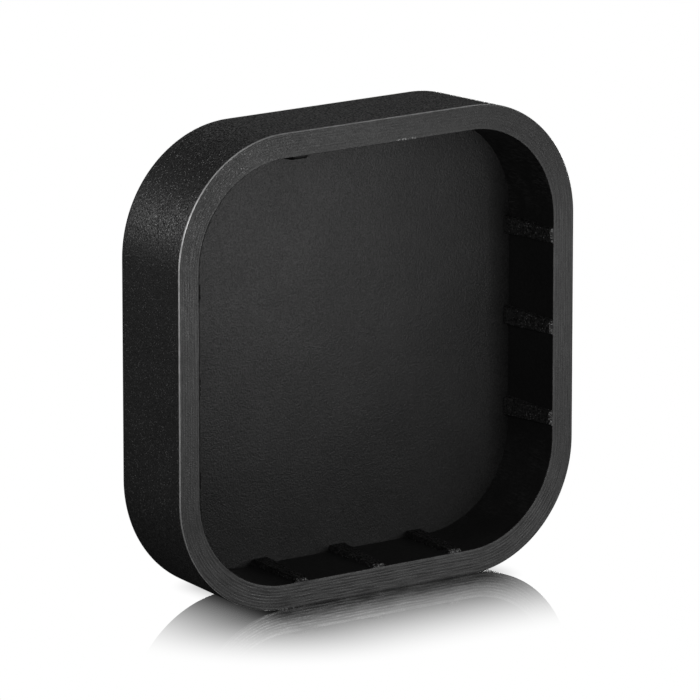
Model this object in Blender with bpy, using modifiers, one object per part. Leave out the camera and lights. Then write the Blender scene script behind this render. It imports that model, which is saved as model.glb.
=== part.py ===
"""Rounded-square push-on cap: a thick-walled, shallow cup with grip ribs on its inner walls.

The cap stands on one flat side. +Z is up, the open face looks along -Y and the closed back along +Y.
The origin is the middle of the flat side that it stands on.
"""

import math

import bmesh
import bpy

MM = 0.001

# Outer form
WIDTH = 36.0 * MM  # of the square at the rim, side to side and top to bottom
DEPTH = 8.1 * MM  # rim plane to back face
CORNER_RADIUS = 9.4 * MM
OUTER_DRAFT = math.radians(1.8)  # the outer sides close in towards the back
BACK_EDGE_RADIUS = 0.6 * MM
RIM_EDGE_RADIUS = 0.12 * MM

# Cavity
WALL = 1.9 * MM  # at the rim
CAVITY_DEPTH = 5.4 * MM  # rim plane to the floor panel's face
CAVITY_CORNER_RADIUS = 7.6 * MM
WALL_DRAFT = math.radians(1.4)  # the inner walls close in towards the floor

# Floor panel
PANEL_THICKNESS = 0.6 * MM
FIT_GAP = 0.05 * MM  # between one piece and the next

# Grip ribs, three on each inner wall, tapered towards the rim
RIBS_PER_WALL = 3
RIB_PITCH = 7.05 * MM
RIB_WIDTH_AT_FLOOR = 1.45 * MM
RIB_WIDTH_AT_RIM = 1.15 * MM
RIB_HEIGHT_AT_FLOOR = 0.50 * MM
RIB_HEIGHT_AT_RIM = 0.24 * MM
RIB_EDGE_RADIUS = 0.09 * MM
RIB_CROWN = 0.8  # width of a rib's top over the width of its foot

# Facets
CORNER_STEPS = 14
FILLET_STEPS = 5
BREAK_STEPS = 2

# Derived
HALF = WIDTH / 2
FRONT = -DEPTH / 2
POCKET_DEPTH = CAVITY_DEPTH + PANEL_THICKNESS + FIT_GAP

BLACK = (0.022, 0.022, 0.023)
DARK_GREY = (0.030, 0.030, 0.031)


def outer_half(depth):
    """Half the cap's outer width at this depth behind the rim plane."""
    return HALF - depth * math.tan(OUTER_DRAFT)


def inner_half(depth):
    """Half the cavity's width at this depth behind the rim plane."""
    return HALF - WALL - depth * math.tan(WALL_DRAFT)


def material(name, colour, roughness):
    made = bpy.data.materials.new(name)
    made.use_nodes = True
    shader = made.node_tree.nodes["Principled BSDF"]
    shader.inputs["Base Color"].default_value = (*colour, 1.0)
    shader.inputs["Roughness"].default_value = roughness
    shader.inputs["Metallic"].default_value = 0.0
    return made


def rounded_square(half, radius):
    """Outline of a square of this half width with round corners, counter-clockwise from the right side."""
    points = []
    for corner in range(4):
        start = corner * math.pi / 2
        middle = start + math.pi / 4
        centre_x = math.copysign(half - radius, math.cos(middle))
        centre_z = math.copysign(half - radius, math.sin(middle))
        for step in range(CORNER_STEPS + 1):
            angle = start + step / CORNER_STEPS * math.pi / 2
            points.append((centre_x + radius * math.cos(angle), centre_z + radius * math.sin(angle)))
    return points


def shell_sections():
    """(half width, corner radius, y) of each section: up the outside, over the rim and into the pocket."""
    sections = []
    for step in range(FILLET_STEPS + 1):
        angle = step / FILLET_STEPS * math.pi / 2
        inset = BACK_EDGE_RADIUS * (1 - math.sin(angle))
        depth = DEPTH - BACK_EDGE_RADIUS * (1 - math.cos(angle))
        sections.append((outer_half(depth) - inset, CORNER_RADIUS - inset, FRONT + depth))
    for step in range(BREAK_STEPS + 1):
        angle = step / BREAK_STEPS * math.pi / 2
        inset = RIM_EDGE_RADIUS * (1 - math.cos(angle))
        depth = RIM_EDGE_RADIUS * (1 - math.sin(angle))
        sections.append((outer_half(depth) - inset, CORNER_RADIUS - inset, FRONT + depth))
    for step in range(BREAK_STEPS + 1):
        angle = step / BREAK_STEPS * math.pi / 2
        outset = RIM_EDGE_RADIUS * (1 - math.sin(angle))
        depth = RIM_EDGE_RADIUS * (1 - math.cos(angle))
        sections.append((inner_half(depth) + outset, CAVITY_CORNER_RADIUS + outset, FRONT + depth))
    sections.append((inner_half(POCKET_DEPTH), CAVITY_CORNER_RADIUS, FRONT + POCKET_DEPTH))
    return sections


def add_object(name, data, colour_material, collection, parent):
    made = bpy.data.objects.new(name, data)
    data.materials.append(colour_material)
    collection.objects.link(made)
    made.parent = parent
    return made


def make_shell(collection, parent, finish):
    """One loft through sections that change in size, closed by the back face and the pocket's floor."""
    mesh = bpy.data.meshes.new("cap_shell")
    body = bmesh.new()
    rings = []
    for half, radius, y in shell_sections():
        rings.append([body.verts.new((x, y, z)) for x, z in rounded_square(half, radius)])
    for first, second in zip(rings, rings[1:]):
        for index in range(len(first)):
            after = (index + 1) % len(first)
            body.faces.new((first[index], first[after], second[after], second[index]))
    body.faces.new(reversed(rings[0]))
    body.faces.new(rings[-1])
    bmesh.ops.recalc_face_normals(body, faces=body.faces)
    body.to_mesh(mesh)
    body.free()
    mesh.shade_smooth()
    mesh.set_sharp_from_angle(angle=math.radians(35))
    return add_object("cap_shell", mesh, finish, collection, parent)


def make_floor_panel(collection, parent, finish):
    """A flat plate on the pocket's floor, its outline the pocket's less the fit gap."""
    outline = bpy.data.curves.new("floor_panel", "CURVE")
    outline.dimensions = "2D"
    outline.fill_mode = "BOTH"
    outline.extrude = PANEL_THICKNESS / 2
    spline = outline.splines.new("POLY")
    points = rounded_square(inner_half(POCKET_DEPTH) - FIT_GAP, CAVITY_CORNER_RADIUS - FIT_GAP)
    spline.points.add(len(points) - 1)
    for point, (x, z) in zip(spline.points, points):
        point.co = (x, z, 0.0, 1.0)
    spline.use_cyclic_u = True
    panel = add_object("floor_panel", outline, finish, collection, parent)
    panel.rotation_euler = (math.pi / 2, 0.0, 0.0)
    panel.location = (0.0, FRONT + CAVITY_DEPTH + PANEL_THICKNESS / 2, 0.0)
    return panel


def rib_mesh():
    """A tapered bar: x across, y from the rim plane inwards, z up from the wall's surface at the rim."""
    mesh = bpy.data.meshes.new("grip_rib")
    bar = bmesh.new()
    bmesh.ops.create_cube(bar, size=1.0)
    length = CAVITY_DEPTH - FIT_GAP - RIM_EDGE_RADIUS
    for vertex in bar.verts:
        at_floor = vertex.co.y > 0
        on_top = vertex.co.z > 0
        depth = RIM_EDGE_RADIUS + (length if at_floor else 0.0)
        width = RIB_WIDTH_AT_FLOOR if at_floor else RIB_WIDTH_AT_RIM
        height = RIB_HEIGHT_AT_FLOOR if at_floor else RIB_HEIGHT_AT_RIM
        wall_rise = depth * math.tan(WALL_DRAFT)
        vertex.co.x *= width * (RIB_CROWN if on_top else 1.0)
        vertex.co.y = depth
        vertex.co.z = wall_rise + (height if on_top else FIT_GAP)
    bar.to_mesh(mesh)
    bar.free()
    return mesh


def make_ribs(collection, parent, finish):
    """The same bar on every wall, turned about the cap's axis."""
    walls = (
        ("bottom", 0.0, ("left", "middle", "right")),
        ("right", -math.pi / 2, ("lower", "middle", "upper")),
        ("top", math.pi, ("right", "middle", "left")),
        ("left", math.pi / 2, ("upper", "middle", "lower")),
    )
    mesh = rib_mesh()
    mesh.materials.append(finish)
    mesh.shade_smooth()
    mesh.set_sharp_from_angle(angle=math.radians(35))
    for wall, turn, places in walls:
        for index, place in enumerate(places):
            along = (index - (RIBS_PER_WALL - 1) / 2) * RIB_PITCH
            down = -(HALF - WALL)
            rib = bpy.data.objects.new(f"grip_rib_{wall}_{place}", mesh)
            collection.objects.link(rib)
            rib.parent = parent
            rib.rotation_euler = (0.0, turn, 0.0)
            rib.location = (
                along * math.cos(turn) + down * math.sin(turn),
                FRONT,
                -along * math.sin(turn) + down * math.cos(turn),
            )
            edges = rib.modifiers.new("edge_round", "BEVEL")
            edges.width = RIB_EDGE_RADIUS
            edges.segments = 2
            edges.limit_method = "ANGLE"


def clear_scene():
    for old in list(bpy.data.objects):
        bpy.data.objects.remove(old, do_unlink=True)


def main():
    clear_scene()
    collection = bpy.data.collections.new("push_on_cap")
    bpy.context.scene.collection.children.link(collection)
    axis = bpy.data.objects.new("cap_axis", None)
    axis.location = (0.0, 0.0, HALF)
    collection.objects.link(axis)
    make_shell(collection, axis, material("shell_black", BLACK, 0.55))
    make_floor_panel(collection, axis, material("floor_grain", DARK_GREY, 0.65))
    make_ribs(collection, axis, material("rib_black", BLACK, 0.60))


main()
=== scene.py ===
"""Looks for the rounded-square push-on cap: fine moulded pieces, rubber materials, studio and camera."""

import math

import bmesh
import bpy
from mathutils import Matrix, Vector, noise


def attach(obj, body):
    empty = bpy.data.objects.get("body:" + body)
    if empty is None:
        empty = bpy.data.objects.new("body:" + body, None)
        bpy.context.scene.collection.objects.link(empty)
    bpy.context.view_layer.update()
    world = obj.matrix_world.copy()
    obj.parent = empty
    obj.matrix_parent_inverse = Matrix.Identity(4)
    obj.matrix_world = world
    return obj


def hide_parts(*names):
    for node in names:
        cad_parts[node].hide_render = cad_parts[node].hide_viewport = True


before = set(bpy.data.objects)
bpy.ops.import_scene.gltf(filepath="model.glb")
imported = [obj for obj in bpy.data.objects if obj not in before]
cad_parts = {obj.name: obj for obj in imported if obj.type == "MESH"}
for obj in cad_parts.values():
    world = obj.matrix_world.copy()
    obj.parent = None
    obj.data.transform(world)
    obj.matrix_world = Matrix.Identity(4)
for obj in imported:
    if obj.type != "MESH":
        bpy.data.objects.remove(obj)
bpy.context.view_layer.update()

MM = 0.001
MILLIWATT = 0.001

# The cap's form. It is the CAD model's, but for how the rim's two edges are broken.
WIDTH = 36.0 * MM
DEPTH = 8.1 * MM
HALF = WIDTH / 2
CORNER_RADIUS = 9.4 * MM
OUTER_DRAFT = math.radians(1.8)
BACK_EDGE_RADIUS = 0.6 * MM
WALL = 1.9 * MM
CAVITY_DEPTH = 5.4 * MM
CAVITY_CORNER_RADIUS = 7.6 * MM
WALL_DRAFT = math.radians(1.4)
PANEL_THICKNESS = 0.6 * MM
CENTRE = Vector((0.0, 0.0, HALF))
FRONT = -DEPTH / 2

# The rim's edges, and the share of their full size that each side of the cap keeps
RIM_EDGE_RADIUS = 0.10 * MM
RIM_INNER_BREAK = 0.17 * MM
EDGE_FLATNESS = 0.75  # the outer edge lies between a round, 0, and a flat cut, 1
OUTER_EDGE_LEAST = 0.50
OUTER_EDGE_WORN = 0.50  # added at the left and the top
OUTER_EDGE_CRISP = 0.35  # taken off along the bottom
INNER_EDGE_LEAST = 0.20
INNER_EDGE_WORN = 0.80  # added at the left

# Grip ribs
RIB_PITCH = 7.05 * MM
RIB_WIDTH_AT_FLOOR = 1.45 * MM
RIB_WIDTH_AT_RIM = 1.15 * MM
RIB_HEIGHT_AT_FLOOR = 0.50 * MM
RIB_HEIGHT_AT_RIM = 0.24 * MM
RIB_WALLS = (
    ("bottom", 0.0, ("left", "middle", "right")),
    ("right", -math.pi / 2, ("lower", "middle", "upper")),
    ("top", math.pi, ("right", "middle", "left")),
    ("left", math.pi / 2, ("upper", "middle", "lower")),
)

# Ribs whose end at the rim isn't like the others': (width, height) there
RIB_RIM_ENDS = {
    ("top", "left"): (1.38 * MM, 0.30 * MM),
    ("top", "middle"): (1.15 * MM, 0.06 * MM),
    ("top", "right"): (1.15 * MM, 0.05 * MM),
    ("left", "upper"): (1.15 * MM, 0.10 * MM),
    ("left", "middle"): (1.15 * MM, 0.10 * MM),
    ("left", "lower"): (1.15 * MM, 0.10 * MM),
}

# A rib's section and ends
RIB_SHOULDER = 0.09 * MM
RIB_SHOULDER_SHARE = 0.4  # of its height, at most
RIB_FLANK_LEAN = 0.06 * MM
RIB_FOOT_SPREAD = 0.05 * MM
RIB_FOOT_BEND = (0.02 * MM, 0.04 * MM)  # outwards and up, where the foot turns into the flank
RIB_START = 0.01 * MM
RIB_NEAR_END = 0.60 * MM
RIB_TORN_END = 0.22 * MM
RIB_FAR_END = 0.10 * MM
RIB_END_LEAST = 0.12  # share of its height at the very end
RIB_UNEVEN_SIZE = 0.30 * MM
RIB_UNEVEN_HEIGHT = 0.012 * MM

# Flash: the torn film of rubber at the rim's end of a rib
FLASH_DEPTH = 0.12 * MM
FLASH_HEIGHT = 0.05 * MM
FLASH_SIZE = 0.11 * MM
FLASH_WEAR = 1.7
FLASH_WEAR_SIZE = 0.10 * MM
FLASH_WEAR_LEVEL = 0.12  # noise above this is worn bright

# Unevenness of the moulding
RIM_WAVE = (3.0 * MM, 0.012 * MM)  # size and height
FLOOR_WAVE = (6.0 * MM, 0.02 * MM)
FLOOR_SETTLE = 6.0  # how fast the floor's waves grow inwards from its flat edge

# Fineness of the meshes
CORNER_STEPS = 40
SIDE_STEPS = 20  # to each half of a side
BACK_RINGS = 4
BACK_INNERMOST = 0.9  # how far in towards the middle the back's first ring lies
BACK_ROUNDNESS = 0.45  # least corner radius of the back's rings, as a share of their half width
BACK_EDGE_STEPS = 8
OUTSIDE_RINGS = 15
RIM_EDGE_STEPS = 6
RIM_RINGS = 8
INSIDE_RINGS = 12
FLOOR_RINGS = 22
FLOOR_SKIN = PANEL_THICKNESS * 0.4
RIB_END_STEPS = 6
RIB_RINGS = 40
RIB_SHOULDER_STEPS = 4
RIB_CROWN_STEPS = 8
SUPPORT = 0.015 * MM  # rings this close to an edge keep its shading crisp
SEAT = 0.03 * MM  # how far a rib's foot and the floor's edge reach into the wall
SMOOTH_ANGLE = 40
RIB_SMOOTH_ANGLE = 50

# Rubber
NOISE_ROUGHNESS = 0.55
NOISE_RANGE = (0.3, 0.7)  # where most of a noise texture's values lie
GRAIN_TURN = (0.6, 0.4, 0.9)  # keeps the noise's lattice planes from lying along a flat face
BLOTCH_SIZE = 4.0 * MM
UNEVEN_SIZE = 0.5 * MM
UNEVEN_SHARE = 0.5  # of the grain's height
UNEVEN_ROUGHNESS = 0.015
BLOTCH_ROUGHNESS = 0.05
EDGE_POLISH = 0.40  # share of the roughness that a worn edge loses
POLISH_FLATTENS = 1.3  # how much of the bump goes with it
# Painted highlight along the rim's outer edge, with the nicks and the ribs' flash: how much they lighten the
# base colour, and how it varies along them
MARK_AND_HIGHLIGHT_TONE = 0.24
HIGHLIGHT_AND_WEAR_RANGE = (0.7, 1.1)
NICK_SIZE = 0.16 * MM
NICK_WEAR = 1.6
NICK_RANGE = (0.52, 0.66)  # noise from none to a full nick
NICKED_BELOW = (-10.8 * MM, -7.8 * MM)  # from left to right, under the lower left corner
NICKED_ABOVE = (1.3 * MM, 3.2 * MM)  # from left to right, inside the top

# Tool lines along the rim
TOOL_PITCH = 0.22 * MM
WAVE_SCALE = math.tau / 20  # scale at which a wave texture's bands are one unit apart
TOOL_STRETCH = 0.07
TOOL_WAVE = {"Distortion": 2.5, "Detail": 1.0, "Detail Scale": 1.6}
TOOL_WAVE_SHARE = 0.22
TOOL_NOISE_SIZE = 0.13 * MM
TOOL_LEAST = 0.25  # strength where they show least
TOOL_MORE = 0.85  # added at most
RIM_PAINTED_LIGHT_TONES = (0.40, 1.75)  # painted light: the rim's tone, darker at the top and upper left, lighter along the bottom, from the least strength to full
TOOL_HEIGHT = 1.5
TOOL_ROUGHNESS = 0.25

# Drag streaks in the pocket
DRAG_STRETCH = 0.12
DRAG_SIZE = 0.08 * MM
DRAG_RANGE = (0.48, 0.64)
DRAG_PATCH_SIZE = 2.2 * MM
DRAG_PATCH_RANGE = (0.35, 0.60)
DRAG_FADE = 1.5 * MM
DRAG_ABOVE = 7.0 * MM  # from the cap's middle
DRAG_BELOW = 7.5 * MM
DRAG_BELOW_SHARE = 0.5

# Specks
SPECK_SIZE = 0.12 * MM
SPECK_EDGE = (0.20, 0.38)  # a speck fades over these shares of its cell
SPECK_CHOSEN = 0.62  # cells under this level have none
SPECK_GLINT = 0.22
SPECKS_EVERYWHERE = 0.45
# Painted highlight: the specks brighten round the upper left corner, where the light falls
SPECK_HIGHLIGHT_AT_CORNER = 1.5
SPECKS_ON_RIB = 1.25  # at its rim's end
# Painted shade: the ribs' specks dim towards the floor, deep in the pocket
RIB_SPECK_PAINTED_SHADE = 1.1

# Studio
GLOSS_REACH = 16.0 * MM
FOOT_HALF = Vector((8.6 * MM, 4.05 * MM))
SHADOW_REACH = 4.0 * MM
SHADOW_TONE = 0.4
ROOM_FILL = 0.02
FLOOR_FILL = 0.02
FLOOR_RADIUS = 3.0
FLOOR_SEGMENTS = 96
FLOOR_GAP = 0.001 * MM

# name, place from the cap's middle in mm, size in mm, power in milliwatts
LIGHTS = (
    ("nearer_right", (22.0, -51.0, -2.0), (25.0, 25.0), 14.7),
    ("far_right_front", (160.0, -200.0, 10.0), (150.0, 60.0), 51.4),
    ("back_left_near", (-70.0, 60.0, 35.0), (30.0, 30.0), 13.8),
    ("back_top_soft", (-40.0, 150.0, 110.0), (150.0, 80.0), 5.4),
    ("front_left", (-120.0, -120.0, 72.0), (60.0, 60.0), 108.0),
    ("back_fill", (110.0, 150.0, -9.0), (80.0, 10.0), 40.0),
    ("right_fill", (170.0, 125.0, -9.0), (60.0, 10.0), 90.0),
    ("left_low", (-150.0, -90.0, -4.0), (50.0, 20.0), 24.0),
    ("back_left", (-140.0, 90.0, 40.0), (80.0, 100.0), 17.0),
    ("grazing_top_wide", (90.0, 160.0, 80.0), (120.0, 80.0), 8.5),
    ("right_top", (91.0, -38.0, 126.0), (30.0, 30.0), 9.0),
)

# Camera
CAMERA_AZIMUTH = math.radians(-35.78)
CAMERA_ELEVATION = math.radians(13.58)
CAMERA_DISTANCE = 596.7 * MM
CAMERA_LENS = 414.5
CAMERA_SENSOR = 36.0
CAMERA_NEAR = 0.01
CAMERA_FAR = 20.0
AIM_OFFSET = Vector((-1.70, 1.38, 0.49)) * MM  # from the middle of the rim plane


def limited(value):
    """The value, kept between 0 and 1."""
    return min(1.0, max(0.0, value))


# ---------------------------------------------------------------- materials

class Tree:
    """The node tree of a material or a world, with short ways to add the nodes that are used here."""

    def __init__(self, owner):
        owner.use_nodes = True
        self.nodes = owner.node_tree.nodes
        self.links = owner.node_tree.links

    def put(self, value, socket):
        """Sets a socket to a plain value, or links an output to it."""
        if isinstance(value, bpy.types.NodeSocket):
            self.links.new(value, socket)
        else:
            socket.default_value = value

    def node(self, kind, inputs=None, **settings):
        made = self.nodes.new(kind)
        for name, value in settings.items():
            setattr(made, name, value)
        for name, value in (inputs or {}).items():
            self.put(value, made.inputs[name])
        return made

    def maths(self, operation, *values):
        made = self.node("ShaderNodeMath", operation=operation)
        for value, socket in zip(values, made.inputs):
            self.put(value, socket)
        return made.outputs[0]

    def add(self, first, second):
        return self.maths("ADD", first, second)

    def subtract(self, first, second):
        return self.maths("SUBTRACT", first, second)

    def multiply(self, first, second):
        return self.maths("MULTIPLY", first, second)

    def noise(self, vector, size, detail):
        inputs = {"Vector": vector, "Scale": 1.0 / size, "Detail": detail, "Roughness": NOISE_ROUGHNESS}
        return self.node("ShaderNodeTexNoise", inputs).outputs["Fac"]

    def spread(self, value, low, high, in_low=NOISE_RANGE[0], in_high=NOISE_RANGE[1], **settings):
        """Carries a value's range from in_low to in_high over to low to high, and holds it there."""
        inputs = {"Value": value, "From Min": in_low, "From Max": in_high, "To Min": low, "To Max": high}
        return self.node("ShaderNodeMapRange", inputs, **settings).outputs["Result"]

    def attribute(self, name):
        return self.node("ShaderNodeAttribute", attribute_name=name).outputs["Fac"]

    def stretched(self, vector, scale):
        return self.node("ShaderNodeMapping", {"Vector": vector, "Scale": scale}).outputs["Vector"]


def moulded_rubber(
    name, tone, roughness, grain, depth, pitting, blotch=0.15, mottle=0.25,
    specks=0.0, striae=0.0, streaks=0.0, specular=0.5,
):
    """Black rubber: pitted grain and soft blotches, where asked specks, tool lines or drag streaks, and
    painted highlight and shade.
    """
    material = bpy.data.materials.new(name)
    tree = Tree(material)
    shader = tree.nodes["Principled BSDF"]
    shader.inputs["Specular IOR Level"].default_value = specular
    place = tree.node("ShaderNodeTexCoord").outputs["Object"]
    turned = tree.node("ShaderNodeMapping", {"Vector": place, "Rotation": GRAIN_TURN}).outputs["Vector"]
    fine = tree.noise(turned, grain, 1.0)
    broad = tree.noise(turned, BLOTCH_SIZE, 3.0)
    middle = tree.noise(turned, UNEVEN_SIZE, 2.0)

    shade = tree.spread(broad, 1.0 - blotch, 1.0 + blotch)
    shade = tree.multiply(shade, tree.spread(fine, 1.0 - mottle, 1.0 + mottle))
    height = tree.add(fine, tree.multiply(middle, UNEVEN_SHARE))
    rough = tree.spread(fine, roughness + pitting, roughness - pitting)
    rough = tree.add(rough, tree.spread(middle, UNEVEN_ROUGHNESS, -UNEVEN_ROUGHNESS))
    rough = tree.add(rough, tree.spread(broad, blotch * BLOTCH_ROUGHNESS, blotch * -BLOTCH_ROUGHNESS))
    if striae:
        strength = tree.attribute("tooled_and_lit")
        lines = tree.add(tree.multiply(tree.subtract(tool_lines(tree), 0.5), strength), 0.5)
        # Painted light: the rim darker at the top and upper left, lighter along the bottom
        shade = tree.multiply(shade, tree.spread(strength, *RIM_PAINTED_LIGHT_TONES, TOOL_LEAST, 1.0))
        shade = tree.multiply(shade, tree.spread(lines, 1.0 - striae, 1.0 + striae))
        height = tree.add(height, tree.multiply(lines, TOOL_HEIGHT))
        rough = tree.add(rough, tree.spread(lines, striae * TOOL_ROUGHNESS, striae * -TOOL_ROUGHNESS))
    if streaks:
        drag = tree.multiply(drag_streaks(tree, place), tree.attribute("dragged"))
        shade = tree.add(shade, tree.multiply(drag, streaks))
        height = tree.add(height, drag)
    if specks:
        # The specks' strength carries painted highlight at the upper left and painted shade down the ribs
        bright = tree.multiply(speck_mask(tree, turned), tree.attribute("specks_and_painted_light"))
        shade = tree.add(shade, tree.multiply(bright, specks))
        rough = tree.subtract(rough, tree.multiply(bright, SPECK_GLINT))

    # Painted highlight along the rim's outer edge, with the ribs' flash and the nicks, lightens the base
    # colour
    marks_and_highlight = tree.multiply(tree.attribute("edge_highlight_and_wear"), tree.spread(middle, *HIGHLIGHT_AND_WEAR_RANGE))
    nicks = tree.spread(tree.noise(place, NICK_SIZE, 1.0), 0.0, NICK_WEAR, *NICK_RANGE)
    marks_and_highlight = tree.add(marks_and_highlight, tree.multiply(nicks, tree.attribute("nicked")))
    grey = tree.add(tree.multiply(shade, tone), tree.multiply(marks_and_highlight, MARK_AND_HIGHLIGHT_TONE))
    colour = tree.node("ShaderNodeCombineColor", {"Red": grey, "Green": grey, "Blue": grey})
    tree.put(colour.outputs["Color"], shader.inputs["Base Color"])

    polish = tree.multiply(tree.maths("MINIMUM", marks_and_highlight, 1.0), EDGE_POLISH)
    rough = tree.multiply(rough, tree.subtract(1.0, polish))
    tree.put(rough, shader.inputs["Roughness"])

    strength = tree.subtract(1.0, tree.multiply(polish, POLISH_FLATTENS))
    bump = tree.node("ShaderNodeBump", {"Strength": strength, "Distance": depth, "Height": height})
    tree.put(bump.outputs["Normal"], shader.inputs["Normal"])
    return material


def drag_streaks(tree, place):
    """Patches of fine lines that run with the pocket's depth, as left by the tool being drawn out."""
    lines = tree.noise(tree.stretched(place, (1.0, DRAG_STRETCH, 1.0)), DRAG_SIZE, 2.0)
    patches = tree.spread(tree.noise(place, DRAG_PATCH_SIZE, 1.0), 0.0, 1.0, *DRAG_PATCH_RANGE)
    return tree.multiply(tree.spread(lines, 0.0, 1.0, *DRAG_RANGE), patches)


def tool_lines(tree):
    """Fine lines that run along the rim, from the mesh's run-and-across coordinates."""
    run = tree.node("ShaderNodeUVMap", uv_map="run_across").outputs["UV"]
    run = tree.stretched(run, (TOOL_STRETCH, 1.0, 1.0))
    inputs = {"Vector": run, "Scale": WAVE_SCALE / TOOL_PITCH, **TOOL_WAVE}
    wave = tree.node("ShaderNodeTexWave", inputs, wave_type="BANDS", bands_direction="Y").outputs["Fac"]
    drawn = tree.noise(run, TOOL_NOISE_SIZE, 1.0)
    wave = tree.spread(wave, 0.0, TOOL_WAVE_SHARE, 0.0, 1.0)
    return tree.add(wave, tree.multiply(drawn, 1.0 - TOOL_WAVE_SHARE))


def speck_mask(tree, place):
    """Scattered bright points of unequal strength, one in every few cells."""
    cells = tree.node("ShaderNodeTexVoronoi", {"Vector": place, "Scale": 1.0 / SPECK_SIZE})
    near = tree.spread(cells.outputs["Distance"], 1.0, 0.0, *SPECK_EDGE)
    parts = tree.node("ShaderNodeSeparateColor", {"Color": cells.outputs["Color"]})
    chosen = tree.spread(parts.outputs["Red"], 0.0, 1.0, SPECK_CHOSEN, 1.0)
    return tree.multiply(near, chosen)


# ---------------------------------------------------------------- where each look shows on the shell

# Places in the list of the shell's materials
OUTER, RIM, INNER, HIGHLIGHT_EDGE = range(4)


def edge_roundness(facing, outer_edge):
    """Share of the full edge radius: the upper left is worn round, and the rest of the rim is crisper."""
    left = max(0.0, -facing.x)
    if outer_edge:
        worn = OUTER_EDGE_WORN * max(left, facing.y)
        return OUTER_EDGE_LEAST + worn - OUTER_EDGE_CRISP * max(0.0, -facing.y)
    return INNER_EDGE_LEAST + INNER_EDGE_WORN * left ** 2


def edge_painted_highlight(facing, point):
    """Painted highlight on the outer edge: brightest at the upper left and higher up the left side, where the
    light falls.
    """
    left = max(0.0, -facing.x)
    leftwards = limited(0.55 - 0.6 * facing.x + 0.10 * facing.y)
    high = limited((point.z - 8.0 * MM) / (20.0 * MM))
    corner = 2.0 * left * max(0.0, facing.y)
    return 0.35 + 0.65 * leftwards + 0.9 * high * left + 0.4 * corner


def specks_and_highlight(facing, depth):
    """How bright the shell's specks are: painted highlight makes them brightest round the upper left corner,
    and they are even over the back.
    """
    side = min(1.0, (DEPTH - depth) / BACK_EDGE_RADIUS)
    corner = max(0.0, (facing.y - facing.x) / math.sqrt(2.0)) ** 4
    return SPECKS_EVERYWHERE + SPECK_HIGHLIGHT_AT_CORNER * side * corner


def nicking(point, zone):
    """Where small bright nicks mark the rim's edges: under the lower left corner and inside the top."""
    if zone == "rim_outer_edge" and point.z < HALF / 4:
        return float(NICKED_BELOW[0] < point.x < NICKED_BELOW[1])
    if zone == "rim_inner_edge" and point.z > HALF:
        return float(NICKED_ABOVE[0] < point.x < NICKED_ABOVE[1])
    return 0.0


def tooling_and_light(facing):
    """How strongly the tool lines show on the rim, most along the bottom and least at the upper left; the
    rim's painted light follows it.
    """
    return TOOL_LEAST + TOOL_MORE * limited(0.35 + 0.10 * facing.x - 0.60 * facing.y)


def dragging(point, facing):
    """How strongly drag streaks show in the pocket: round its upper right corner, a little at the lower."""
    upper = limited((point.z - HALF - DRAG_ABOVE) / DRAG_FADE)
    lower = limited((HALF - DRAG_BELOW - point.z) / DRAG_FADE) * DRAG_BELOW_SHARE
    return max(upper, lower) * limited(facing.x * 2.0)


# ---------------------------------------------------------------- pieces

def rounded_square(half, radius):
    """(x, z) points round a square with round corners, starting at the right side's middle."""
    straight = half - radius
    points = []
    for corner in range(4):
        start = corner * math.pi / 2
        out = Vector((math.cos(start), math.sin(start)))
        along = Vector((-out.y, out.x))
        for step in range(SIDE_STEPS):
            points.append(out * half + along * straight * step / SIDE_STEPS)
        centre = (out + along) * straight
        for step in range(CORNER_STEPS):
            angle = start + step / CORNER_STEPS * math.pi / 2
            points.append(centre + Vector((math.cos(angle), math.sin(angle))) * radius)
        for step in range(SIDE_STEPS):
            points.append(along * half + out * straight * (1 - step / SIDE_STEPS))
    return points


def outer_half(depth):
    return HALF - depth * math.tan(OUTER_DRAFT)


def inner_half(depth):
    return HALF - WALL - depth * math.tan(WALL_DRAFT)


def broken_edge(share, size, flatness):
    """(inset, depth) of a point on the way from the wall to the rim's face."""
    angle = share * math.pi / 2
    inset = (1 - math.cos(angle)) * (1 - flatness) + share * flatness
    depth = (1 - math.sin(angle)) * (1 - flatness) + (1 - share) * flatness
    return inset * size, depth * size


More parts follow.
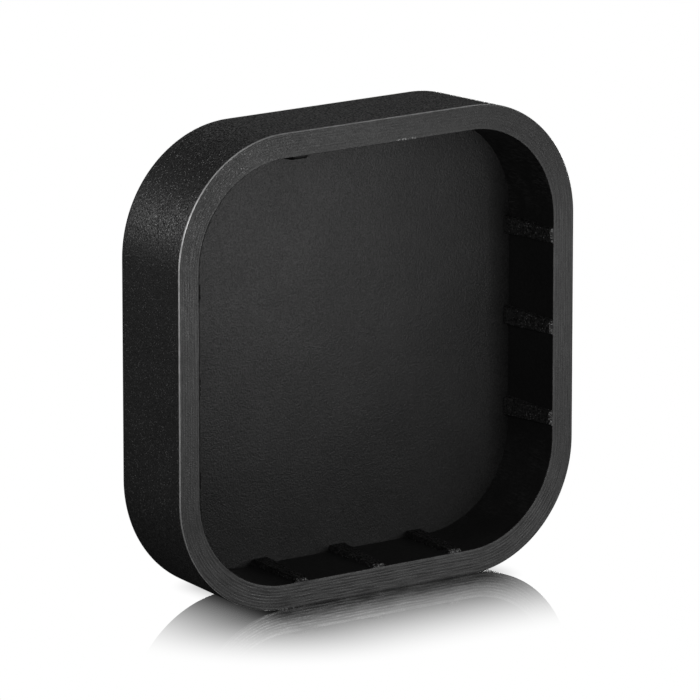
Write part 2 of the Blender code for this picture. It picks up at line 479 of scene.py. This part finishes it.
def shell_profile():
    """(half width, corner radius, depth, zone) of each ring: back, back edge, outside, rim, inside."""
    rings = []
    back_half = outer_half(DEPTH)
    for step in range(BACK_RINGS):
        inset = back_half * (1 - step / BACK_RINGS) * BACK_INNERMOST
        half = back_half - BACK_EDGE_RADIUS - inset
        radius = max(CORNER_RADIUS - BACK_EDGE_RADIUS - inset, half * BACK_ROUNDNESS)
        rings.append((half, radius, DEPTH, "outer"))
    for step in range(BACK_EDGE_STEPS + 1):
        angle = step / BACK_EDGE_STEPS * math.pi / 2
        inset = BACK_EDGE_RADIUS * (1 - math.sin(angle))
        depth = DEPTH - BACK_EDGE_RADIUS * (1 - math.cos(angle))
        rings.append((outer_half(depth) - inset, CORNER_RADIUS - inset, depth, "outer"))
    for step in range(1, OUTSIDE_RINGS):
        share = step / OUTSIDE_RINGS
        depth = (DEPTH - BACK_EDGE_RADIUS) * (1 - share) + RIM_EDGE_RADIUS * share
        rings.append((outer_half(depth), CORNER_RADIUS, depth, "outer"))
    depth = RIM_EDGE_RADIUS + SUPPORT
    rings.append((outer_half(depth), CORNER_RADIUS, depth, "outer"))
    for step in range(RIM_EDGE_STEPS + 1):
        inset, depth = broken_edge(step / RIM_EDGE_STEPS, RIM_EDGE_RADIUS, EDGE_FLATNESS)
        rings.append((outer_half(depth) - inset, CORNER_RADIUS - inset, depth, "rim_outer_edge"))

    flat = outer_half(0) - RIM_EDGE_RADIUS - (inner_half(0) + RIM_INNER_BREAK)
    shares = [step / RIM_RINGS for step in range(1, RIM_RINGS)]
    for share in (SUPPORT / flat, *shares, 1 - SUPPORT / flat):
        inset = RIM_EDGE_RADIUS + flat * share
        radius = (CORNER_RADIUS - RIM_EDGE_RADIUS) * (1 - share)
        radius += (CAVITY_CORNER_RADIUS + RIM_INNER_BREAK) * share
        rings.append((outer_half(0) - inset, radius, 0.0, "rim"))
    for step in range(RIM_EDGE_STEPS + 1):
        depth, outset = broken_edge(step / RIM_EDGE_STEPS, RIM_INNER_BREAK, 0.0)
        rings.append((inner_half(depth) + outset, CAVITY_CORNER_RADIUS + outset, depth, "rim_inner_edge"))

    depth = RIM_INNER_BREAK + SUPPORT
    rings.append((inner_half(depth), CAVITY_CORNER_RADIUS, depth, "inner"))
    lowest = CAVITY_DEPTH + PANEL_THICKNESS / 2
    for step in range(1, INSIDE_RINGS + 1):
        depth = RIM_INNER_BREAK + (lowest - RIM_INNER_BREAK) * step / INSIDE_RINGS
        rings.append((inner_half(depth), CAVITY_CORNER_RADIUS, depth, "inner"))
    return rings


def outline_facing(points):
    """The direction each point of a closed outline faces, outwards."""
    found = []
    for index in range(len(points)):
        along = points[(index + 1) % len(points)] - points[index - 1]
        found.append(Vector((along.y, -along.x)).normalized())
    return found


def run_lengths(points):
    """Distance run at each point of a closed outline, and once more at its end."""
    total = [0.0]
    for index, point in enumerate(points):
        after = points[(index + 1) % len(points)]
        total.append(total[-1] + (after - point).length)
    return total


def waviness(point, size, amount, seed=Vector()):
    """A small smooth unevenness, as a moulding has."""
    return noise.noise(point / size + seed) * amount


def new_vertex(body, point, layers, levels):
    """A vertex with how strongly each look shows there, by the name of its layer."""
    vertex = body.verts.new(point)
    for name, level in levels.items():
        vertex[layers[name]] = level
    return vertex


def float_layers(body, names):
    return {name: body.verts.layers.float.new(name) for name in names}


def bridge(body, first, second):
    """The faces between two rings of as many vertices."""
    faces = []
    for index in range(len(first)):
        after = (index + 1) % len(first)
        faces.append(body.faces.new((first[index], first[after], second[after], second[index])))
    return faces


def finish_mesh(body, name, materials, angle=SMOOTH_ANGLE):
    mesh = bpy.data.meshes.new(name)
    bmesh.ops.recalc_face_normals(body, faces=body.faces)
    body.to_mesh(mesh)
    body.free()
    for material in materials:
        mesh.materials.append(material)
    mesh.shade_smooth()
    mesh.set_sharp_from_angle(angle=math.radians(angle))
    made = bpy.data.objects.new(name, mesh)
    bpy.context.scene.collection.objects.link(made)
    return made


def shell_ring(body, layers, half, radius, depth, zone, edge_lines, facing):
    """One ring of the shell's vertices. Where the rim is crisp, its edges draw in to their sharp line."""
    ring = []
    for place, flat in enumerate(rounded_square(half, radius)):
        sink = depth
        if zone in edge_lines:
            share = edge_roundness(facing[place], zone == "rim_outer_edge")
            sharp = edge_lines[zone][place]
            flat = sharp + (flat - sharp) * share
            sink = depth * share
        point = Vector((flat.x, FRONT + sink, flat.y + HALF))
        if zone.startswith("rim"):
            point.y += abs(waviness(point, *RIM_WAVE))
        levels = {
            "specks_and_painted_light": specks_and_highlight(facing[place], depth),
            "nicked": nicking(point, zone),
            "tooled_and_lit": tooling_and_light(facing[place]),
            "dragged": dragging(point, facing[place]),
        }
        # Painted highlight along the rim's outer edge, strongest where the light falls
        if zone == "rim_outer_edge" and 0.0 < depth < RIM_EDGE_RADIUS * 0.95:
            levels["edge_highlight_and_wear"] = edge_painted_highlight(facing[place], point)
        ring.append(new_vertex(body, point, layers, levels))
    return ring


def face_look(before, after):
    """Which of the shell's materials lies between two rings of these zones."""
    if before == after == "rim_outer_edge":
        return HIGHLIGHT_EDGE
    if after == "inner" or before == after == "rim_inner_edge":
        return INNER
    return OUTER if after == "outer" else RIM


def make_shell(materials):
    """The cup, ring by ring from the back face to under the floor's edge."""
    body = bmesh.new()
    run_layer = body.loops.layers.uv.new("run_across")
    layers = float_layers(body, ("edge_highlight_and_wear", "specks_and_painted_light", "nicked", "tooled_and_lit", "dragged"))
    edge_lines = {
        "rim_outer_edge": rounded_square(outer_half(0), CORNER_RADIUS),
        "rim_inner_edge": rounded_square(inner_half(0), CAVITY_CORNER_RADIUS),
    }
    facing = outline_facing(edge_lines["rim_outer_edge"])
    profile = shell_profile()
    rings = [shell_ring(body, layers, *ring, edge_lines, facing) for ring in profile]
    acrosses = [0.0]
    for before, after in zip(profile, profile[1:]):
        acrosses.append(acrosses[-1] + math.hypot(after[0] - before[0], after[2] - before[2]))
    runs = run_lengths(rounded_square(HALF - WALL / 2, CORNER_RADIUS - WALL / 2))
    for row, (first, second) in enumerate(zip(rings, rings[1:])):
        look = face_look(profile[row][3], profile[row + 1][3])
        for index, face in enumerate(bridge(body, first, second)):
            face.material_index = look
            corners = ((index, row), (index + 1, row), (index + 1, row + 1), (index, row + 1))
            for loop, (place, line) in zip(face.loops, corners):
                loop[run_layer].uv = (runs[place], acrosses[line])
    body.faces.new(reversed(rings[0]))
    body.faces.new(rings[-1]).material_index = INNER
    return finish_mesh(body, "shell_moulding", materials)


def make_floor(material):
    """The pocket's floor: rings that close in on the middle, slightly uneven like a moulded face."""
    body = bmesh.new()
    half = inner_half(CAVITY_DEPTH) + SEAT
    radius = CAVITY_CORNER_RADIUS + SEAT
    rings = []
    for level in range(FLOOR_RINGS):
        share = 1 - level / FLOOR_RINGS
        settle = min(1.0, (1 - share) * FLOOR_SETTLE)
        ring = []
        for flat in rounded_square(half * share, radius * share):
            point = Vector((flat.x, FRONT + CAVITY_DEPTH, flat.y + HALF))
            point.y += waviness(point, *FLOOR_WAVE) * settle
            ring.append(body.verts.new(point))
        rings.append(ring)
    for first, second in zip(rings, rings[1:]):
        bridge(body, first, second)
    body.faces.new(rings[-1])
    under = [body.verts.new(vertex.co + Vector((0.0, FLOOR_SKIN, 0.0))) for vertex in rings[0]]
    bridge(body, under, rings[0])
    body.faces.new(reversed(under))
    return finish_mesh(body, "pocket_floor", [material])


def rib_section(width, height, foot):
    """(x, z) across a rib, from foot to foot: a low bar with rounded shoulders that sinks into the wall."""
    shoulder = min(RIB_SHOULDER, height * RIB_SHOULDER_SHARE)
    side = width / 2
    bend_out, bend_up = RIB_FOOT_BEND
    points = [(-side - RIB_FOOT_SPREAD, foot), (-side - bend_out, foot + bend_up)]
    for step in range(RIB_SHOULDER_STEPS + 1):
        angle = step / RIB_SHOULDER_STEPS * math.pi / 2
        x = -side + RIB_FLANK_LEAN + shoulder * (1 - math.cos(angle))
        points.append((x, height - shoulder * (1 - math.sin(angle))))
    edge = side - RIB_FLANK_LEAN - shoulder
    crown = [(edge * step / RIB_CROWN_STEPS, height) for step in range(1 - RIB_CROWN_STEPS, RIB_CROWN_STEPS)]
    return points + crown + [(-x, z) for x, z in reversed(points)]


def rib_rise(share_of_end):
    """How far a rib has risen to its full height at this share of its rounded end."""
    return math.sqrt(max(0.0, 1 - (1 - min(share_of_end, 1.0)) ** 2))


def rib_depths(near_end):
    """How deep in the pocket each of a rib's rings lies: close together at the rim, where it rises."""
    angles = [step / RIB_END_STEPS * math.pi / 2 for step in range(RIB_END_STEPS)]
    straight = CAVITY_DEPTH - RIB_START - near_end - RIB_FAR_END
    depths = [RIB_START + near_end * (1 - math.cos(angle)) for angle in angles]
    return depths + [RIB_START + near_end + straight * step / RIB_RINGS for step in range(RIB_RINGS + 1)]


def make_rib(name, wall_turn, along, material, rim_width, rim_height, flash):
    """A tapered bar along the wall's depth, blunt at the floor and, where it has flash, ragged at the rim."""
    body = bmesh.new()
    layers = float_layers(body, ("edge_highlight_and_wear", "specks_and_painted_light"))
    near_end = RIB_TORN_END if flash else RIB_NEAR_END
    seed = Vector((along / MM, wall_turn * 7.0, 3.0))
    rings = []
    for depth in rib_depths(near_end):
        share = (depth - RIB_START) / (CAVITY_DEPTH - RIB_START)
        width = rim_width + (RIB_WIDTH_AT_FLOOR - rim_width) * share
        height = rim_height + (RIB_HEIGHT_AT_FLOOR - rim_height) * share
        risen = rib_rise((depth - RIB_START) / near_end)
        height *= RIB_END_LEAST + (1 - RIB_END_LEAST) * risen
        torn = flash and depth < FLASH_DEPTH
        ring = []
        for x, z in rib_section(width, height, -SEAT):
            point = Vector((x, depth, z + depth * math.tan(WALL_DRAFT)))
            if z > 0:
                point.z += waviness(point, RIB_UNEVEN_SIZE, RIB_UNEVEN_HEIGHT, seed)
            if z > 0 and torn:
                point.z += waviness(point, FLASH_SIZE, FLASH_HEIGHT, seed)
            # Painted shade: the specks dim towards the floor, deep in the pocket
            levels = {"specks_and_painted_light": SPECKS_ON_RIB - RIB_SPECK_PAINTED_SHADE * share ** 3}
            if torn:
                level = waviness(point, FLASH_WEAR_SIZE, 1.0, seed * 3.1)
                levels["edge_highlight_and_wear"] = FLASH_WEAR * max(0.0, level - FLASH_WEAR_LEVEL)
            ring.append(new_vertex(body, point, layers, levels))
        rings.append(ring)
    for first, second in zip(rings, rings[1:]):
        bridge(body, first, second)
    body.faces.new(reversed(rings[0]))
    body.faces.new(rings[-1])
    made = finish_mesh(body, name, [material], RIB_SMOOTH_ANGLE)
    down = WALL - HALF
    made.rotation_euler = (0.0, wall_turn, 0.0)
    made.location = (
        along * math.cos(wall_turn) + down * math.sin(wall_turn),
        FRONT,
        HALF - along * math.sin(wall_turn) + down * math.cos(wall_turn),
    )
    bpy.context.view_layer.update()
    made.data.transform(made.matrix_world)
    made.matrix_world.identity()
    return made


def make_pieces():
    outer = moulded_rubber(
        "shell_grain", 0.014, 0.50, 0.15 * MM, 0.03 * MM,
        pitting=0.24, mottle=1.0, specks=14.5, specular=0.34,
    )
    rim = moulded_rubber(
        "rim_tooled", 0.020, 0.55, 0.10 * MM, 0.013 * MM,
        pitting=0.07, mottle=0.32, striae=0.57, specks=0.3, specular=0.47,
    )
    inner = moulded_rubber(
        "wall_plain", 0.0055, 0.62, 0.20 * MM, 0.01 * MM,
        pitting=0.02, streaks=2.6, specular=0.17,
    )
    floor = moulded_rubber(
        "floor_pebbled", 0.009, 0.40, 0.13 * MM, 0.02 * MM,
        pitting=0.04, blotch=0.2, mottle=0.62, specular=0.17,
    )
    ribs = moulded_rubber(
        "rib_coarse", 0.0105, 0.52, 0.16 * MM, 0.05 * MM,
        pitting=0.25, mottle=1.0, specks=14.0, specular=0.14,
    )
    # Painted highlight: the rim's outer edge, polished, with a lighter base colour
    highlight_edge = moulded_rubber(
        "edge_polished_highlight", 0.030, 0.50, 0.20 * MM, 0.01 * MM,
        pitting=0.05, mottle=0.3, specular=1.0,
    )
    # Painted shade: a darker copy of the rib rubber, for the bottom ribs
    shaded_ribs = moulded_rubber(
        "rib_coarse_painted_shade", 0.006, 0.52, 0.16 * MM, 0.05 * MM,
        pitting=0.25, mottle=1.0, specks=14.0, specular=0.09,
    )

    shell = make_shell([outer, rim, inner, highlight_edge])
    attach(shell, "root")
    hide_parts("cap_shell")

    plate = make_floor(floor)
    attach(plate, "root")
    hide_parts("floor_panel")

    for wall, turn, places in RIB_WALLS:
        for index, place in enumerate(places):
            node = f"grip_rib_{wall}_{place}"
            width, height = RIB_RIM_ENDS.get((wall, place), (RIB_WIDTH_AT_RIM, RIB_HEIGHT_AT_RIM))
            # Painted shade: the bottom ribs take the darker copy and the top ribs the dark wall rubber, so
            # that they show dark
            look = {"bottom": shaded_ribs, "top": inner}.get(wall, ribs)
            torn = wall in ("bottom", "right")
            rib = make_rib(f"moulded_{node}", turn, (index - 1) * RIB_PITCH, look, width, height, torn)
            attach(rib, "root")
            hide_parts(node)


# ---------------------------------------------------------------- stage

def seen_white(tree, fill):
    """Emission that is white to the eye and in the floor's mirror, and dim as a light source."""
    path = tree.node("ShaderNodeLightPath")
    direct = tree.maths("MAXIMUM", path.outputs["Is Camera Ray"], path.outputs["Is Singular Ray"])
    return tree.spread(direct, fill, 1.0, 0.0, 1.0)


def distance_from_foot(tree):
    """How far a point of the floor is from the rectangle that the cap stands on."""
    place = tree.node("ShaderNodeNewGeometry").outputs["Position"]
    parts = tree.node("ShaderNodeSeparateXYZ", {"Vector": place})
    squares = []
    for axis, half in zip("XY", FOOT_HALF):
        away = tree.subtract(tree.maths("ABSOLUTE", parts.outputs[axis]), half)
        away = tree.maths("MAXIMUM", away, 0.0)
        squares.append(tree.multiply(away, away))
    return tree.maths("SQRT", tree.add(*squares))


def floor_material():
    """Pale, with a contact shadow, and polished close to the cap so that its foot is mirrored."""
    material = bpy.data.materials.new("studio_floor")
    tree = Tree(material)
    tree.nodes.remove(tree.nodes["Principled BSDF"])
    distance = distance_from_foot(tree)
    fade = tree.spread(distance, 0.0, 1.0, 0.0, GLOSS_REACH, interpolation_type="SMOOTHSTEP")
    shadow = tree.spread(distance, SHADOW_TONE, 1.0, 0.0, SHADOW_REACH, interpolation_type="SMOOTHSTEP")
    unseen = tree.subtract(1.0, tree.node("ShaderNodeLightPath").outputs["Is Camera Ray"])
    plain = tree.maths("MAXIMUM", fade, unseen)
    mirror = tree.node("ShaderNodeBsdfGlossy", {"Color": shadow, "Roughness": 0.0})
    white = tree.node("ShaderNodeEmission", {"Strength": tree.multiply(seen_white(tree, FLOOR_FILL), shadow)})
    mix = tree.node("ShaderNodeMixShader", {"Fac": plain})
    tree.put(mirror.outputs["BSDF"], mix.inputs[1])
    tree.put(white.outputs["Emission"], mix.inputs[2])
    tree.put(mix.outputs["Shader"], tree.nodes["Material Output"].inputs["Surface"])
    return material


def make_stage():
    world = bpy.data.worlds.new("studio")
    bpy.context.scene.world = world
    tree = Tree(world)
    background = tree.nodes["Background"]
    tree.put((1.0, 1.0, 1.0, 1.0), background.inputs["Color"])
    tree.put(seen_white(tree, ROOM_FILL), background.inputs["Strength"])

    ground = bmesh.new()
    bmesh.ops.create_circle(ground, cap_ends=True, segments=FLOOR_SEGMENTS, radius=FLOOR_RADIUS)
    mesh = bpy.data.meshes.new("studio_floor")
    ground.to_mesh(mesh)
    ground.free()
    mesh.materials.append(floor_material())
    floor = bpy.data.objects.new("studio_floor", mesh)
    floor.location.z = -FLOOR_GAP
    bpy.context.scene.collection.objects.link(floor)


def make_lights():
    for name, place, size, power in LIGHTS:
        lamp = bpy.data.lights.new(name, "AREA")
        lamp.shape = "RECTANGLE"
        lamp.size, lamp.size_y = (side * MM for side in size)
        lamp.energy = power * MILLIWATT
        holder = bpy.data.objects.new(name, lamp)
        holder.visible_camera = False
        holder.location = CENTRE + Vector(place) * MM
        holder.rotation_euler = (CENTRE - holder.location).to_track_quat("-Z", "Y").to_euler()
        bpy.context.scene.collection.objects.link(holder)


def make_camera():
    data = bpy.data.cameras.new("camera")
    data.lens = CAMERA_LENS
    data.sensor_width = CAMERA_SENSOR
    data.clip_start = CAMERA_NEAR
    data.clip_end = CAMERA_FAR
    camera = bpy.data.objects.new("camera", data)
    back = Vector((
        math.sin(CAMERA_AZIMUTH) * math.cos(CAMERA_ELEVATION),
        -math.cos(CAMERA_AZIMUTH) * math.cos(CAMERA_ELEVATION),
        math.sin(CAMERA_ELEVATION),
    ))
    aim = CENTRE + Vector((0.0, FRONT, 0.0)) + AIM_OFFSET
    camera.location = aim + back * CAMERA_DISTANCE
    camera.rotation_euler = (-back).to_track_quat("-Z", "Y").to_euler()
    bpy.context.scene.collection.objects.link(camera)
    bpy.context.scene.camera = camera


bpy.context.scene.view_settings.view_transform = "Standard"
make_pieces()
make_stage()
make_lights()
make_camera()
